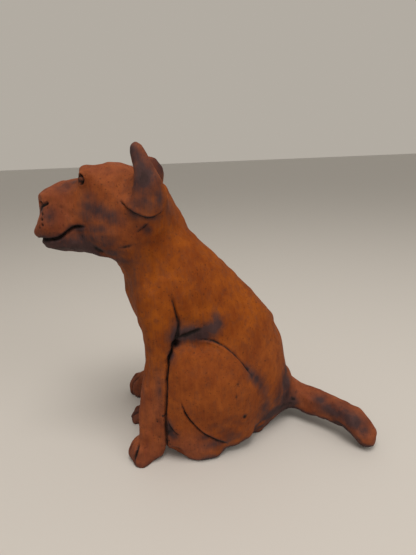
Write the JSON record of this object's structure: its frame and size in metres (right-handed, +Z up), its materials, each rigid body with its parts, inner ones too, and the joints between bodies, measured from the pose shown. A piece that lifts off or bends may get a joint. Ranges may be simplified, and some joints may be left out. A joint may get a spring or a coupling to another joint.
{
  "type": "sitting dog sculpture",
  "caption": "Hand-modelled terracotta dog that sits upright with its head turned aside, folded hind legs and a long tail curled out on the ground.",
  "frame": {"origin": "Under the middle of the whole dog's bounding box, on the plane that it stands on.", "axes": "The dog faces -Y, its left side is +X and +Z points up. X runs across the dog, along the box's shortest side."},
  "size_m": [0.185, 0.2942, 0.2907],
  "materials": {
    "terracotta": "matt unglazed terracotta, rubbed with oxide that stays dark in the creases"
  },
  "bodies": {
    "root": {"dog": "terracotta"}
  },
  "joints": []
}
